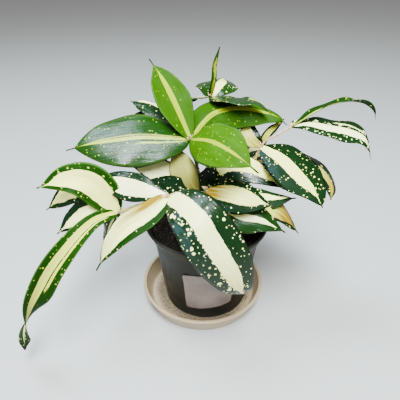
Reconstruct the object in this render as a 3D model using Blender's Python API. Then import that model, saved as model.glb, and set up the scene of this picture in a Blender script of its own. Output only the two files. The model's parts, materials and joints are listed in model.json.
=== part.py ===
# Gold dust dracaena: leafy canes standing in the soil of a nursery pot, on a plastic saucer.
# Lengths are in millimetres here and turn into metres as each mesh is made. +Z is up, the front
# faces -Y, and the origin is the middle of the saucer's flat underside.

import math

import bmesh
import bpy
import numpy as np

MM = 0.001
GAP = 0.3  # clearance between pieces that touch

# Saucer
SAUCER_FOOT_R = 60.0
SAUCER_RIM_R = 68.5
SAUCER_HEIGHT = 20.0
SAUCER_FLOOR = 2.2
SAUCER_LIP = 3.6  # how wide the rolled rim is
SAUCER_WALL = 1.8

# Pot, which stands a little to the right of the saucer's middle
POT_X = 4.0
POT_FOOT_R = 46.0
POT_SHOULDER_R = 56.3
POT_SHOULDER_Z = 86.0
POT_RIM_R = 65.0
POT_TOP_Z = 104.0
POT_WALL = 1.4
POT_FLOOR = 1.8
POT_LEDGE = 1.6  # how far the rim band stands out from the plain wall
POT_BEAD = 1.2  # how far the bead at the top stands out from the band
POT_BEAD_HEIGHT = 3.0
DRAIN_HOLE_R = 4.0
DRAIN_HOLES = 4
DRAIN_RING_R = 30.0

# Soil
SOIL_Z = 97.0
SOIL_BUMP = 1.1
SOIL_FLARE = 0.3  # how it widens inside the rim band
SOIL_GAP = 0.55  # to the pot's wall, since both are faceted
SOIL_SIDES = 28
SOIL_RINGS = 6
CANE_FOOT_Z = 80.0

# Label on the front of the pot
LABEL_LOW_Z = 20.0
LABEL_HIGH_Z = 71.0
LABEL_HALF_ANGLE = 29.0
LABEL_TURN = 2.5  # degrees that its middle lies to the right of the front
LABEL_TILT_MM = 3.0  # how much higher its right edge sits than its left
LABEL_THICK = 0.5
LABEL_GAP = 0.55  # to the pot's faceted wall

# Leaf blades
BLADE_THICK = 0.9
BLADE_COLUMNS = 4
STALK_HALF = 1.9  # half the width where a blade leaves its cane
TIP_HALF = 0.7
WAVES = 2.5  # waves along each edge

ROUND_SIDES = 40
CANE_SIDES = 7


def leaf(path, width, face, fold=-8, twist=0, curl=3, wave=1.2, peak=0.9, full=0.8, tail=0.05,
         end_face=None, steps=8):
    """A blade from its joint through the points of path, as wide as width at its broadest.

    face is the way its upper side looks at the joint, and end_face at the tip. fold is the angle
    that each half is lifted by. twist is the turn that the tip ends with, in degrees; a higher
    curl keeps more of it for the end. wave is the height of the waves along its edges. A lower
    peak brings the broadest place nearer the joint, a lower full makes the outline blunter, and
    tail is the share of the length that is drawn out to a thin point.
    """
    return dict(path=path, width=width, face=face, fold=fold, twist=twist, curl=curl, wave=wave,
                peak=peak, full=full, tail=tail, end_face=end_face or face, steps=steps)


# Each stem has its leaves' colour, a foot in the soil, and then joints from which its leaves grow.
# A joint is (where it is, the cane's radius there, its leaves).
STEMS = {
    "stem_centre": {
        "colour": (0.16, 0.37, 0.04),
        "foot": (2, 6),
        "joints": [
            ((-2, 5, 140), 1.7, []),
            ((-12, 0, 192), 1.6, [
                leaf([(-29, 20, 224), (-42, 40, 242), (-52, 50, 254)], 35, (0.35, -0.8, 0.45), fold=10,
                     peak=1.1, full=0.7, tail=0.1),
                leaf([(-36, -3, 195), (-58, -6, 197), (-83, -11, 196), (-102, -15, 194), (-124, -18, 189)],
                     57, (0, -0.62, 0.78), fold=-12, peak=1.02, full=0.6, tail=0.08),
                leaf([(0, 14, 204), (13, 24, 211), (36, 30, 213), (57, 27, 210), (71, 21, 207),
                      (81, 16, 200)], 44, (0, -0.62, 0.78), fold=-24, full=0.55, end_face=(0, -0.25, 0.97)),
                leaf([(3, -25, 202), (15, -42, 204), (29, -56, 200), (44, -64, 190)], 45,
                     (0.1, -0.8, 0.6), peak=0.95, full=0.65, tail=0.1),
            ]),
        ],
    },
    "stem_spear": {
        "colour": (0.05, 0.15, 0.03),
        "foot": (14, 30),
        "joints": [
            ((12, 50, 150), 1.7, []),
            ((10, 62, 197), 1.6, []),
            ((7, 47, 218), 1.5, [
                leaf([(10, 38, 236), (11, 37, 252), (15, 34, 268)], 6, (0, -0.8, 0.5), fold=30, wave=0),
                leaf([(13, 62, 228), (22, 102, 223)], 48, (0, -0.05, 1), fold=-16, full=0.7),
                leaf([(28, 27, 221), (50, 19, 221), (64, 12, 212)], 27, (0, 0.05, 1), fold=0),
                leaf([(-14, 60, 213), (-36, 84, 198)], 32, (0, 0.2, 1)),
            ]),
        ],
    },
    "stem_back_left": {
        "colour": (0.03, 0.09, 0.04),
        "foot": (-22, 26),
        "joints": [
            ((-27, 36, 145), 1.7, []),
            ((-30, 45, 190), 1.5, [
                leaf([(-55, 60, 203), (-78, 72, 206)], 26, (0, -0.3, 0.95)),
                leaf([(-58, 52, 194), (-82, 64, 191)], 28, (0.1, -0.6, 0.75)),
                leaf([(-48, 78, 190), (-62, 108, 172)], 36, (-0.2, 0.5, 0.85)),
                leaf([(-18, 82, 192), (-6, 118, 176)], 36, (0.1, 0.5, 0.85)),
            ]),
        ],
    },
    "stem_right": {
        "colour": (0.03, 0.1, 0.05),
        "foot": (30, 10),
        "joints": [
            ((44, 8, 140), 1.7, []),
            ((56, 5, 183), 1.5, [
                leaf([(73, -14, 181), (87, -32, 172), (98, -48, 163), (103, -58, 153)], 45,
                     (0.15, -0.6, 0.8), peak=1.0, full=0.65, tail=0.03),
                leaf([(92, -4, 175), (109, -18, 168), (116, -32, 160), (115, -42, 151)], 34,
                     (0.35, -0.25, 0.9), full=0.65, tail=0.03),
                leaf([(46, 18, 189), (42, 30, 206)], 18, (-0.2, -0.6, 0.6)),
                leaf([(63, 18, 190), (81, 33, 200)], 9, (0.1, -0.6, 0.8)),
            ]),
            ((69, 3, 195), 0.9, []),
            ((82, 2, 204), 1.0, [
                leaf([(90, 3, 209), (101, 4, 217), (116, 4, 224), (131, 2, 228), (145, 0, 226),
                      (153, -2, 220), (155, -4, 213)], 19, (0, 0.1, 1), fold=14, twist=35, peak=1.1,
                     full=0.7),
                leaf([(96, -4, 210), (113, -10, 209), (130, -18, 208), (142, -24, 202), (150, -26, 183)],
                     38, (0.1, -0.2, 1), fold=-6, peak=1.15, full=0.75, tail=0.1),
                leaf([(92, 22, 201), (95, 44, 196)], 11, (0, -0.2, 1)),
            ]),
        ],
    },
    "stem_front_left": {
        "colour": (0.04, 0.13, 0.04),
        "foot": (-18, -22),
        "joints": [
            ((-24, -36, 132), 1.9, []),
            ((-30, -50, 160), 1.9, [
                leaf([(-17, -68, 163), (-3, -84, 157), (9, -92, 138), (22, -94, 114), (31, -90, 91),
                      (37, -82, 75), (39, -69, 70)], 50, (0.2, -0.8, 0.58), fold=-10, peak=0.88,
                     full=0.5, end_face=(0.2, -0.6, -0.75), steps=14),
                leaf([(-45, -65, 153), (-63, -75, 145), (-78, -80, 130), (-95, -80, 101)], 24,
                     (-0.1, -0.8, 0.6), fold=14, peak=0.76, tail=0.12),
                leaf([(-51, -47, 165), (-74, -38, 166), (-97, -28, 168)], 28, (0, -0.7, 0.7), fold=-6,
                     peak=1.25, full=0.7),
            ]),
            ((-53, -50, 152), 1.5, []),
            ((-77, -45, 140), 1.6, [
                leaf([(-95, -44, 167), (-116, -46, 175), (-144, -50, 168)], 34, (0, -0.75, 0.65), fold=14,
                     peak=0.82),
                leaf([(-94, -58, 141), (-106, -70, 135), (-119, -81, 123), (-131, -89, 109),
                      (-142, -95, 92), (-151, -99, 77), (-158, -102, 61), (-164, -104, 44),
                      (-167, -104, 24)], 24, (0.2, -0.65, 0.7), fold=16, twist=215, curl=3.2, peak=1.4,
                     full=0.38, tail=0.02, steps=14),
                leaf([(-97, -34, 153), (-119, -36, 157), (-145, -40, 139)], 26, (0, -0.6, 0.8), peak=1.1,
                     full=0.65),
                leaf([(-91, -44, 147), (-109, -52, 144), (-132, -58, 125)], 25, (0, -0.7, 0.7)),
                leaf([(-88, -44, 122), (-94, -46, 96)], 22, (-0.6, -0.7, 0.3)),
            ]),
        ],
    },
    "stem_middle": {
        "colour": (0.02, 0.07, 0.03),
        "foot": (-6, -12),
        "joints": [
            ((-5, -18, 138), 1.7, [
                leaf([(-18, -14, 163), (-27, 4, 184)], 26, (0, -0.9, 0.4), peak=1.2, full=0.7),
                leaf([(-29, -25, 152), (-53, -29, 165)], 28, (0, -0.8, 0.6)),
                leaf([(5, -14, 155), (10, -8, 172)], 26, (0, -0.9, 0.4)),
                leaf([(-46, -8, 166), (-80, -4, 178)], 30, (0, -0.6, 0.8)),
                leaf([(18, -8, 163), (44, -14, 167), (76, -26, 153)], 32, (0, -0.6, 0.8)),
            ]),
        ],
    },
    "stem_front_right": {
        "colour": (0.04, 0.14, 0.04),
        "foot": (14, -20),
        "joints": [
            ((2, -34, 156), 1.8, [
                leaf([(19, -46, 161), (35, -56, 162), (60, -62, 157)], 34, (0, -0.6, 0.8), fold=-10),
                leaf([(30, -56, 146), (51, -62, 143), (72, -65, 132)], 32, (0, -0.7, 0.7), fold=-10),
                leaf([(44, -40, 146), (69, -44, 142), (89, -48, 118)], 30, (0.35, -0.35, 0.9), peak=1.1,
                     full=0.65),
                leaf([(46, -37, 148), (84, -40, 152)], 30, (0, -0.5, 0.85)),
            ]),
        ],
    },
    "stem_back": {
        "colour": (0.03, 0.1, 0.03),
        "foot": (-8, 38),
        "joints": [
            ((-6, 52, 140), 1.7, []),
            ((-4, 60, 164), 1.5, [
                leaf([(-28, 86, 164), (-50, 110, 144)], 36, (-0.3, 0.5, 0.85)),
                leaf([(8, 96, 168), (14, 126, 148)], 38, (0.1, 0.4, 0.9)),
                leaf([(20, 86, 174), (52, 104, 158)], 32, (0.3, 0.3, 0.9)),
            ]),
        ],
    },
    "stem_back_right": {
        "colour": (0.04, 0.13, 0.03),
        "foot": (32, 26),
        "joints": [
            ((46, 36, 150), 1.6, [
                leaf([(72, 50, 156), (102, 60, 138)], 36, (0.4, 0.2, 0.9)),
                leaf([(62, 70, 154), (76, 104, 134)], 36, (0.3, 0.5, 0.85)),
                leaf([(60, 20, 160), (86, 6, 150)], 32, (0.4, -0.2, 0.9)),
            ]),
        ],
    },
}


def clear_scene():
    for thing in list(bpy.data.objects):
        bpy.data.objects.remove(thing, do_unlink=True)


def material(name, colour, roughness, metallic=0.0):
    made = bpy.data.materials.new(name)
    made.use_nodes = True
    shader = made.node_tree.nodes["Principled BSDF"]
    shader.inputs["Base Color"].default_value = (*colour, 1.0)
    shader.inputs["Roughness"].default_value = roughness
    shader.inputs["Metallic"].default_value = metallic
    return made


def add_object(name, vertices, faces, finish=None):
    """An object of a closed mesh, given in millimetres, with its faces turned outward."""
    mesh = bpy.data.meshes.new(name)
    mesh.from_pydata([tuple(float(c) * MM for c in v) for v in vertices], [], faces)
    work = bmesh.new()
    work.from_mesh(mesh)
    bmesh.ops.recalc_face_normals(work, faces=work.faces)
    work.to_mesh(mesh)
    work.free()
    made = bpy.data.objects.new(name, mesh)
    bpy.context.collection.objects.link(made)
    if finish:
        mesh.materials.append(finish)
    return made


def turned(name, outline, centre_x, finish, sides=ROUND_SIDES):
    """A solid turned about a vertical axis from (radius, z) points, first and last on the axis."""
    vertices, faces = [], []
    rings = outline[1:-1]
    for radius, z in rings:
        for k in range(sides):
            angle = 2 * math.pi * k / sides
            vertices.append((centre_x + radius * math.cos(angle), radius * math.sin(angle), z))
    for ring in range(len(rings) - 1):
        for k in range(sides):
            a = ring * sides + k
            b = ring * sides + (k + 1) % sides
            faces.append((a, b, b + sides, a + sides))
    for end, ring in ((outline[0], 0), (outline[-1], len(rings) - 1)):
        pole = len(vertices)
        vertices.append((centre_x, 0, end[1]))
        for k in range(sides):
            faces.append((pole, ring * sides + k, ring * sides + (k + 1) % sides))
    made = add_object(name, vertices, faces, finish)
    smooth(made)
    return made


def smooth(made, angle=40):
    made.data.shade_smooth()
    made.data.set_sharp_from_angle(angle=math.radians(angle))


def combine(target, others, operation):
    """Applies one Boolean of a collection of objects to the target, and removes them."""
    group = bpy.data.collections.new("parts of " + target.name)
    bpy.context.scene.collection.children.link(group)
    for other in others:
        bpy.context.collection.objects.unlink(other)
        group.objects.link(other)
    modifier = target.modifiers.new("Join", "BOOLEAN")
    modifier.operation = operation
    modifier.operand_type = "COLLECTION"
    modifier.collection = group
    modifier.solver = "EXACT"
    depsgraph = bpy.context.evaluated_depsgraph_get()
    result = bpy.data.meshes.new_from_object(target.evaluated_get(depsgraph))
    target.modifiers.clear()
    target.data = result
    for other in others:
        bpy.data.objects.remove(other, do_unlink=True)
    bpy.data.collections.remove(group)


def pot_outer_radius(z):
    """The outside of the pot's plain wall, below its shoulder."""
    slope = (POT_SHOULDER_R - POT_FOOT_R) / (POT_SHOULDER_Z - SAUCER_FLOOR)
    return POT_FOOT_R + (z - SAUCER_FLOOR) * slope


def pot_lip_radius(z):
    """The outside of the flared band from the shoulder up to the rim."""
    low, high = POT_SHOULDER_R + POT_LEDGE, POT_RIM_R - POT_BEAD
    return low + (high - low) * (z - POT_SHOULDER_Z) / (POT_TOP_Z - POT_BEAD_HEIGHT - POT_SHOULDER_Z)


def build_saucer():
    lip = SAUCER_LIP
    rim, top = SAUCER_RIM_R, SAUCER_HEIGHT
    outline = [
        (0, 0), (SAUCER_FOOT_R, 0), (SAUCER_FOOT_R + 1.2, 0.7),
        (rim - 1.6, top - 3.2), (rim - 0.3, top - 2.6), (rim, top - 1.5), (rim - 0.5, top - 0.5),
        (rim - lip / 2, top), (rim - lip + 0.4, top - 0.5), (rim - lip - 0.1, top - 1.8),
        (SAUCER_FOOT_R + 1.2 - SAUCER_WALL, SAUCER_FLOOR + 1.4), (SAUCER_FOOT_R - 2, SAUCER_FLOOR),
        (0, SAUCER_FLOOR),
    ]
    return turned("saucer", outline, 0, material("saucer plastic", (0.79, 0.74, 0.64), 0.4))


def build_pot():
    foot, floor = SAUCER_FLOOR + GAP, SAUCER_FLOOR + GAP + POT_FLOOR
    band_low, band_top = POT_SHOULDER_Z + 1.2, POT_TOP_Z - POT_BEAD_HEIGHT
    outline = [
        (0, foot), (POT_FOOT_R - 1, foot), (pot_outer_radius(foot + 1.2), foot + 1.2),
        (pot_outer_radius(26), 26), (pot_outer_radius(POT_SHOULDER_Z), POT_SHOULDER_Z),
        (pot_lip_radius(band_low), band_low), (pot_lip_radius(band_top), band_top),
        (POT_RIM_R, POT_TOP_Z - 1.8), (POT_RIM_R, POT_TOP_Z - 0.6), (POT_RIM_R - 0.9, POT_TOP_Z),
        (POT_RIM_R - 2.2, POT_TOP_Z - 0.3), (pot_lip_radius(band_top) - POT_WALL, band_top - 0.4),
        (pot_lip_radius(band_low) - POT_WALL - 0.6, band_low),
        (pot_outer_radius(POT_SHOULDER_Z) - POT_WALL, POT_SHOULDER_Z - 1),
        (pot_outer_radius(floor + 1.5) - POT_WALL, floor + 1.5),
        (POT_FOOT_R - POT_WALL - 1.5, floor), (0, floor),
    ]
    pot = turned("pot", outline, POT_X, material("pot plastic", (0.062, 0.058, 0.045), 0.5))
    cutters = []
    for k in range(DRAIN_HOLES):
        angle = 2 * math.pi * (k + 0.5) / DRAIN_HOLES
        place = (POT_X + DRAIN_RING_R * math.cos(angle), DRAIN_RING_R * math.sin(angle))
        cutters.append(tube("drain", [(*place, foot - 1), (*place, floor + 1)], [DRAIN_HOLE_R] * 2, 12))
    combine(pot, cutters, "DIFFERENCE")
    smooth(pot)
    return pot


def soil_radius(z):
    """The inside of the pot at a height, less the gap to it."""
    shoulder = pot_outer_radius(POT_SHOULDER_Z) - POT_WALL
    if z <= POT_SHOULDER_Z - 1:
        return pot_outer_radius(z) - POT_WALL - SOIL_GAP
    return shoulder - SOIL_GAP + (z - POT_SHOULDER_Z + 1) * SOIL_FLARE


def build_soil(canes):
    """The root ball: it fills the pot, its crumbly top is uneven, and each cane stands in a hole."""
    draw = np.random.default_rng(11)
    sides, rings = SOIL_SIDES, SOIL_RINGS
    low = SAUCER_FLOOR + POT_FLOOR + 2 * GAP
    top_r = soil_radius(SOIL_Z - 2)
    vertices = [(POT_X, 0, SOIL_Z + 1)]
    for ring in range(1, rings + 1):
        for k in range(sides):
            angle = 2 * math.pi * (k + 0.5 * (ring % 2)) / sides
            radius = top_r * ring / rings
            bump = draw.uniform(-SOIL_BUMP, SOIL_BUMP) if ring < rings else -2.0
            dome = 1.0 - (ring / rings) ** 2
            x, y = POT_X + radius * math.cos(angle), radius * math.sin(angle)
            vertices.append((x, y, SOIL_Z + dome + bump))
    for z, radius in ((POT_SHOULDER_Z - 1.5, soil_radius(POT_SHOULDER_Z - 1.5)),
                      (low + 2, soil_radius(low + 2) - 0.3), (low, soil_radius(low) - 2)):
        for k in range(sides):
            angle = 2 * math.pi * k / sides
            vertices.append((POT_X + radius * math.cos(angle), radius * math.sin(angle), z))
    vertices.append((POT_X, 0, low))
    faces = []
    for k in range(sides):
        faces.append((0, 1 + k, 1 + (k + 1) % sides))
    for ring in range(rings + 2):
        for k in range(sides):
            a = 1 + ring * sides + k
            b = 1 + ring * sides + (k + 1) % sides
            if ring < rings and ring % 2:
                faces += [(a, a + sides, b), (b, a + sides, b + sides)]
            else:
                faces += [(a, b + sides, b), (a, a + sides, b + sides)]
    last = 1 + (rings + 2) * sides
    for k in range(sides):
        faces.append((len(vertices) - 1, last + k, last + (k + 1) % sides))
    soil = add_object("soil", vertices, faces, material("potting soil", (0.016, 0.013, 0.012), 0.95))
    combine(soil, canes, "DIFFERENCE")
    return soil


def build_label():
    """The paper sticker, bent round the front of the pot's wall."""
    columns, rows = 10, 3
    vertices, faces = [], []
    for layer in (LABEL_GAP, LABEL_GAP + LABEL_THICK):
        for row in range(rows + 1):
            for column in range(columns + 1):
                across = column / columns
                turn = LABEL_TURN + LABEL_HALF_ANGLE * (2 * across - 1)
                angle = math.radians(turn - 90)
                z = LABEL_LOW_Z + (LABEL_HIGH_Z - LABEL_LOW_Z) * row / rows
                z += LABEL_TILT_MM * (2 * across - 1)
                radius = pot_outer_radius(z) + layer
                vertices.append((POT_X + radius * math.cos(angle), radius * math.sin(angle), z))
    wide, layer_size = columns + 1, (columns + 1) * (rows + 1)
    for row in range(rows):
        for column in range(columns):
            a = row * wide + column
            for corners in ((a, a + 1, a + 1 + wide), (a, a + 1 + wide, a + wide)):
                faces.append(corners)
                faces.append(tuple(c + layer_size for c in reversed(corners)))
    edge = list(range(wide)) + [row * wide + columns for row in range(1, rows + 1)]
    edge += [rows * wide + column for column in range(columns - 1, -1, -1)]
    edge += [row * wide for row in range(rows - 1, 0, -1)]
    for a, b in zip(edge, edge[1:] + edge[:1]):
        faces.append((a, b, b + layer_size, a + layer_size))
    return add_object("label", vertices, faces, material("label paper", (0.5, 0.42, 0.4), 0.8))


def curve_through(points, count):
    """Points evenly spaced along a smooth curve that runs through the given ones."""
    points = np.array(points, float)
    ends = np.vstack([2 * points[0] - points[1], points, 2 * points[-1] - points[-2]])
    fine = []
    for k in range(len(points) - 1):
        a, b, c, d = ends[k:k + 4]
        for t in np.linspace(0, 1, 24, endpoint=False):
            fine.append(0.5 * (2 * b + (c - a) * t + (2 * a - 5 * b + 4 * c - d) * t ** 2
                               + (3 * b - a - 3 * c + d) * t ** 3))
    fine.append(points[-1])
    fine = np.array(fine)
    along = np.concatenate([[0], np.cumsum(np.linalg.norm(np.diff(fine, axis=0), axis=1))])
    even = np.linspace(0, along[-1], count)
    return np.stack([np.interp(even, along, fine[:, axis]) for axis in range(3)], axis=1)


def unit(vector):
    return vector / np.linalg.norm(vector)


def tube(name, path, radii, sides):
    """A closed tube along a path, with a radius at each point of it."""
    path = np.array(path, float)
    vertices, faces = [], []
    reference = np.array([0.0, -1.0, 0.2])
    for k, centre in enumerate(path):
        along = unit(path[min(k + 1, len(path) - 1)] - path[max(k - 1, 0)])
        side = unit(np.cross(along, reference))
        other = np.cross(along, side)
        for corner in range(sides):
            angle = 2 * math.pi * corner / sides
            vertices.append(centre + radii[k] * (math.cos(angle) * side + math.sin(angle) * other))
    for k in range(len(path) - 1):
        for corner in range(sides):
            a = k * sides + corner
            b = k * sides + (corner + 1) % sides
            faces.append((a, b, b + sides, a + sides))
    faces.append(tuple(range(sides)))
    faces.append(tuple(len(vertices) - 1 - corner for corner in range(sides)))
    return add_object(name, vertices, faces)


def half_width(along, blade):
    """Half a blade's width at a share of its length: a stalk, a broad body and a thin tail."""
    reach = min(along / (1 - blade["tail"]), 1.0)
    body = math.sin(math.pi * reach ** blade["peak"]) ** blade["full"] if 0 < reach < 1 else 0.0
    drawn_out = 1 - 0.3 * reach ** 7
    ends = STALK_HALF + (TIP_HALF - STALK_HALF) * along
    return ends + (blade["width"] / 2 - ends) * body * drawn_out


def blade_frames(start, blade, steps):
    """The middle line of a blade with its sideways and upward directions, at even shares."""
    centres = curve_through([start] + blade["path"], steps + 1)
    first, last = np.array(blade["face"], float), np.array(blade["end_face"], float)
    frames = []
    for k, centre in enumerate(centres):
        share = k / steps
        face = first + (last - first) * share ** 2
        along = unit(centres[min(k + 1, steps)] - centres[max(k - 1, 0)])
        up = unit(face - along * face.dot(along))
        side = np.cross(along, up)
        turn = math.radians(blade["twist"]) * share ** blade["curl"]
        side, up = (side * math.cos(turn) + up * math.sin(turn),
                    up * math.cos(turn) - side * math.sin(turn))
        frames.append((share, centre, side, up))
    return frames


def blade_point(blade, share, centre, side, up, across):
    """A point of the blade's middle surface, across from -1 at one edge to 1 at the other."""
    half = half_width(share, blade)
    fold = math.radians(blade["fold"])
    lift = half * abs(across) ** 1.4 * math.sin(fold)
    lift += blade["wave"] * across ** 2 * math.sin(math.pi * share) * math.sin(
        2 * math.pi * WAVES * share + 1.6 * across)
    return centre + side * half * across * math.cos(fold) + up * lift


def build_blade(name, start, blade):
    vertices, faces = [], []
    wide, steps = BLADE_COLUMNS + 1, blade["steps"]
    for share, centre, side, up in blade_frames(start, blade, steps):
        for layer in (0.5, -0.5):
            for column in range(wide):
                across = 2 * column / BLADE_COLUMNS - 1
                point = blade_point(blade, share, centre, side, up, across)
                vertices.append(point + up * BLADE_THICK * layer)
    ring = 2 * wide
    for k in range(steps):
        for column in range(BLADE_COLUMNS):
            a = k * ring + column
            b, c, d = a + 1, a + 1 + ring, a + ring
            split = [(a, b, c), (a, c, d)] if column < BLADE_COLUMNS / 2 else [(a, b, d), (b, c, d)]
            for corners in split:
                faces.append(corners)
                faces.append(tuple(v + wide for v in reversed(corners)))
        for column in (0, BLADE_COLUMNS):
            a = k * ring + column
            faces += [(a, a + ring, a + ring + wide), (a, a + ring + wide, a + wide)]
    for k in (0, steps):
        for column in range(BLADE_COLUMNS):
            a = k * ring + column
            faces.append((a, a + 1, a + 1 + wide, a + wide))
    return add_object(name, vertices, faces)


def cane_path(stem):
    """The cane's centre line from its foot, its radius at each point, and its joints."""
    x, y = stem["foot"]
    joints = stem["joints"]
    points = [(x, y, CANE_FOOT_Z), (x, y, SOIL_Z - 6)] + [joint[0] for joint in joints]
    radii = [joints[0][1]] * 2 + [joint[1] for joint in joints]
    steps = 5 * (len(points) - 1) + 1
    even = np.linspace(0, len(radii) - 1, steps)
    return curve_through(points, steps), np.interp(even, range(len(radii)), radii)


def build_stem(name, stem):
    path, radii = cane_path(stem)
    end = unit(path[-1] - path[-2])
    path = np.vstack([path, path[-1] + end * 3])
    radii = np.append(radii, radii[-1] * 0.6)
    made = tube(name, path, radii, CANE_SIDES)
    made.data.materials.append(material(name + " leaves", stem["colour"], 0.35))
    blades = []
    for start, radius, leaves in stem["joints"]:
        for blade in leaves:
            blades.append(build_blade("blade", start, blade))
    combine(made, blades, "UNION")
    return made


def hole_cutters():
    """A copy of each cane's buried length, wider by the gap, to cut its hole with."""
    cutters = []
    for stem in STEMS.values():
        path, radii = cane_path(stem)
        buried = [k for k in range(len(path)) if path[k][2] < SOIL_Z + 12]
        path = path[:buried[-1] + 2]
        path[0] = path[0] - [0, 0, GAP]
        cutters.append(tube("hole", path, radii[:len(path)] + GAP * 1.2, CANE_SIDES))
    return cutters


def main():
    clear_scene()
    build_saucer()
    build_pot()
    build_soil(hole_cutters())
    build_label()
    for name, stem in STEMS.items():
        build_stem(name, stem)


if __name__ == "__main__":
    main()
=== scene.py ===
# Gold dust dracaena in its nursery pot: leaf blades, canes, soil, pot, saucer and label.
# Lengths in the tables are millimetres; mm turns them into Blender's metres.
import json
import math

import bmesh
import bpy
import numpy as np
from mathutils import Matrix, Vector, noise

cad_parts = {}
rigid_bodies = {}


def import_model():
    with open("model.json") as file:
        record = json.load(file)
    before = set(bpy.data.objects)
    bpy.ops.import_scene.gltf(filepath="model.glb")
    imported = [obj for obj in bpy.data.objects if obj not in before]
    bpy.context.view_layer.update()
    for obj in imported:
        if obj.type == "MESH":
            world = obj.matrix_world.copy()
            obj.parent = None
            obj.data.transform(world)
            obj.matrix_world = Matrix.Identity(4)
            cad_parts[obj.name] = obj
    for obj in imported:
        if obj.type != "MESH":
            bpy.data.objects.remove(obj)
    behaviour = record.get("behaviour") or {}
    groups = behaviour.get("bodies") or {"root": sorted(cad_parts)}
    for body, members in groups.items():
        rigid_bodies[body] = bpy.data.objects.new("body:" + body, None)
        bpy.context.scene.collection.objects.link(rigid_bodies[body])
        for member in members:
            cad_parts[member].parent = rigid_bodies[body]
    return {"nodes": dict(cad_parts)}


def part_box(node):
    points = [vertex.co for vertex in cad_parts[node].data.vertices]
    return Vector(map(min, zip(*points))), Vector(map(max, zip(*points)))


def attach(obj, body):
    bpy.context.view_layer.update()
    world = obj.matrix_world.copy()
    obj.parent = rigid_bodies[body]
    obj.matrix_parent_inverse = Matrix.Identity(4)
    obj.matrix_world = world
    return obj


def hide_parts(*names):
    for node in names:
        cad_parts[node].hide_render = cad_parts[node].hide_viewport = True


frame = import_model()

mm = 0.001
perMetre = 1000         # millimetres, for the node trees
fullTurn = 2 * math.pi
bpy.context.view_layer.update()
print("frame loaded,", len(frame["nodes"]), "solids")


def operator(operation, turned=False):
    # how fields meet an operator; turned is for a number on its left
    def run(self, *others):
        return self.maker.reckon(operation, *(others + (self,) if turned else (self,) + others))
    return run


class Field:
    # a socket to reckon with: each sum or product of fields becomes a node of their tree
    __add__ = operator("ADD")
    __sub__ = operator("SUBTRACT")
    __rsub__ = operator("SUBTRACT", True)
    __mul__ = operator("MULTIPLY")
    __truediv__ = operator("DIVIDE")
    __pow__ = operator("POWER")
    __rpow__ = operator("POWER", True)
    __gt__ = operator("GREATER_THAN")
    __abs__ = operator("ABSOLUTE")

    def __init__(self, maker, socket):
        self.maker = maker
        self.socket = socket
        self.isVector = socket.type in ("VECTOR", "RGBA")

    def math(self, operation, *others):
        return self.maker.reckon(operation, self, *others)

    def ramp(self, low, high, start=0, end=1, smooth=True):
        return self.maker.get("ShaderNodeMapRange", self, low, high, start, end,
                              interpolation_type="SMOOTHSTEP" if smooth else "LINEAR")

    def between(self, low, high):
        # from low to high over the middle of a noise
        return self.ramp(0.3, 0.7, low, high, False)


class NodeMaker:
    # puts nodes in a tree; values fill the sockets in order, and those of a dict the ones it names

    def __init__(self, tree, material=None):
        self.tree = tree
        self.material = material

    def put(self, socket, value):
        if isinstance(value, Field):
            self.tree.links.new(value.socket, socket)
        elif value is not None:
            socket.default_value = value

    def node(self, kind, *values, **settings):
        made = self.tree.nodes.new(kind)
        for name, value in settings.items():
            setattr(made, name, value)
        for place, value in enumerate(values):
            for key, part in (value if isinstance(value, dict) else {place: value}).items():
                self.put(made.inputs[key], part)
        return made

    def get(self, kind, *values, out=0, **settings):
        return Field(self, self.node(kind, *values, **settings).outputs[out])

    def geo(self, kind, *values, **settings):
        return self.get("GeometryNode" + kind, *values, **settings)

    def outs(self, kind, *values, **settings):
        made = self.node(kind, *values, **settings)
        return {socket.name: Field(self, socket) for socket in made.outputs}

    def reckon(self, operation, *values):
        # on numbers, on vectors, or a vector scaled by a number
        vectors = [isinstance(value, tuple) or getattr(value, "isVector", False) for value in values]
        if not any(vectors):
            return self.get("ShaderNodeMath", *values, operation=operation)
        if all(vectors):
            return self.get("ShaderNodeVectorMath", *values, operation=operation,
                            out=1 if operation == "DOT_PRODUCT" else 0)
        return self.get("ShaderNodeVectorMath", values[0], {"Scale": values[1]}, operation="SCALE")

    # for materials
    def painted(self, name, out="Fac"):
        return self.get("ShaderNodeAttribute", out=out, attribute_name=name)

    def place(self):
        return self.get("ShaderNodeTexCoord", out="Object")

    def mix(self, share, first, second):
        return self.get("ShaderNodeMix", {0: share, 6: first, 7: second}, out=2, data_type="RGBA")

    def shaded(self, colour, value, saturation=1):
        return self.get("ShaderNodeHueSaturation", 0.5, saturation, value, 1, colour)

    def noise(self, place, scale, detail=3, roughness=0.5, out=0):
        return self.get("ShaderNodeTexNoise", place,
                        {"Scale": scale, "Detail": detail, "Roughness": roughness}, out=out)

    def bump(self, height, distance, strength=1, normal=None):
        return self.get("ShaderNodeBump", {"Strength": strength, "Distance": distance,
                                           "Height": height, "Normal": normal})

    def surface(self, colour, roughness, normal=None, shine=None):
        shader = self.tree.nodes["Principled BSDF"]
        for name, value in (("Base Color", colour), ("Roughness", roughness), ("Normal", normal),
                            ("Specular IOR Level", shine)):
            self.put(shader.inputs[name], value)
        return self.material

    # for geometry trees
    def stored(self, name, kind="FLOAT"):
        return self.geo("InputNamedAttribute", name, data_type=kind)

    def store(self, geometry, name, value, domain="POINT"):
        kind = "FLOAT_VECTOR" if getattr(value, "isVector", False) else "FLOAT"
        return self.geo("StoreNamedAttribute", geometry, True, name, value,
                        data_type=kind, domain=domain)

    def copies(self, points, shape, rotation, scale=None, chosen=None):
        return self.geo("InstanceOnPoints", {
            "Points": points, "Selection": chosen, "Instance": shape, "Rotation": rotation,
            "Scale": scale})

    def join(self, pieces):
        joined = self.node("GeometryNodeJoinGeometry")
        for piece in pieces:
            self.put(joined.inputs[0], piece)
        return Field(self, joined.outputs[0])


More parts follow.
